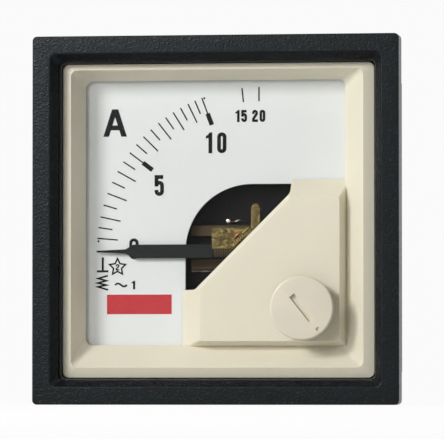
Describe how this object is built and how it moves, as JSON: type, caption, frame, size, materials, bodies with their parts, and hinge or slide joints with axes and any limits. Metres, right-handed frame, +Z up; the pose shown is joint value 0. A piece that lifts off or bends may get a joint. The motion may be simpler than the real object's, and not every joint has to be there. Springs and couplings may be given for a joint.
{
  "type": "analog panel meter",
  "caption": "Square analog panel ammeter with quarter dial, corner cover, zero adjuster, moving iron movement and rear terminal studs.",
  "frame": {"origin": "middle of the panel's front face, level with the back of the bezel and flange", "axes": "+Y back through the panel, +X to the right seen from the front, +Z up"},
  "size_m": [0.072, 0.0665, 0.072],
  "materials": {
    "bezel": "fine grain",
    "front_glass": "clear",
    "glass_gasket": "matt",
    "rear_housing": "fine grain",
    "dial_mask": "satin",
    "dial_plate": "satin",
    "scale_print": "matt ink",
    "dial_screws": "zinc plated",
    "zero_adjuster": "satin",
    "adjuster_clip": "spring steel",
    "zero_lever": "dull",
    "hairspring": "bronze",
    "pointer": "matt",
    "pointer_hub": "turned",
    "balance_weights": "turned",
    "spindle": "ground",
    "moving_iron": "soft iron",
    "damping_vane": "rolled",
    "front_bridge": "stamped",
    "bridge_pillars": "turned",
    "bridge_screws": "zinc plated",
    "front_bearing": "turned",
    "rear_bearing": "turned",
    "rear_bridge": "stamped",
    "tie_screws": "zinc plated",
    "movement_frame": "moulded",
    "frame_rails": "tarnished",
    "frame_screws": "zinc plated",
    "damper_box": "moulded",
    "damper_cover": "rolled",
    "coil_bobbin": "moulded",
    "copper_coil": "enamelled copper",
    "fixed_iron": "soft iron",
    "terminal_strap": "copper",
    "terminal_stud": "turned",
    "terminal_washers": "zinc plated",
    "terminal_nuts": "turned"
  },
  "bodies": {
    "meter_body": {"bezel": "bezel", "front_glass": "front_glass", "glass_gasket": "glass_gasket", "rear_housing": "rear_housing", "dial_mask": "dial_mask", "dial_plate": "dial_plate", "scale_print": "scale_print", "dial_screws": "dial_screws", "front_bridge": "front_bridge", "bridge_pillars": "bridge_pillars", "bridge_screws": "bridge_screws", "front_bearing": "front_bearing", "rear_bearing": "rear_bearing", "rear_bridge": "rear_bridge", "tie_screws": "tie_screws", "movement_frame": "movement_frame", "frame_rails": "frame_rails", "frame_screws": "frame_screws", "damper_box": "damper_box", "damper_cover": "damper_cover", "coil_bobbin": "coil_bobbin", "copper_coil": "copper_coil", "fixed_iron": "fixed_iron", "terminal_washers": "terminal_washers", "terminal_nuts": "terminal_nuts", "terminal_strap_left": "terminal_strap", "terminal_strap_right": "terminal_strap", "terminal_stud_left": "terminal_stud", "terminal_stud_right": "terminal_stud"},
    "pointer_system": {"pointer": "pointer", "pointer_hub": "pointer_hub", "balance_weights": "balance_weights", "spindle": "spindle", "hairspring": "hairspring", "moving_iron": "moving_iron", "damping_vane": "damping_vane"},
    "zero_lever": {"zero_lever": "zero_lever"},
    "zero_adjuster": {"zero_adjuster": "zero_adjuster", "adjuster_clip": "adjuster_clip"}
  },
  "joints": [
    {"name": "adjuster_turn", "type": "hinge", "parent": "meter_body", "child": "zero_adjuster", "pos_m": [0.0169, -0.004, -0.0172], "axis": [0, 1, 0], "range_deg": [-30, 30]},
    {"name": "zero_lever_turn", "type": "hinge", "parent": "meter_body", "child": "zero_lever", "pos_m": [0.00726, 0.003, -0.00587], "axis": [0, 1, 0], "range_deg": [-3, 3]},
    {"name": "pointer_swing", "type": "hinge", "parent": "zero_lever", "child": "pointer_system", "pos_m": [0.00726, 0.0044, -0.00587], "axis": [0, 1, 0], "range_deg": [-2, 92], "stiffness_Nm_per_rad": 0.0001, "deforming": ["hairspring"]}
  ],
  "couplings": [
    {"joint": "zero_lever_turn", "follows": "adjuster_turn", "ratio": -0.09576}
  ]
}
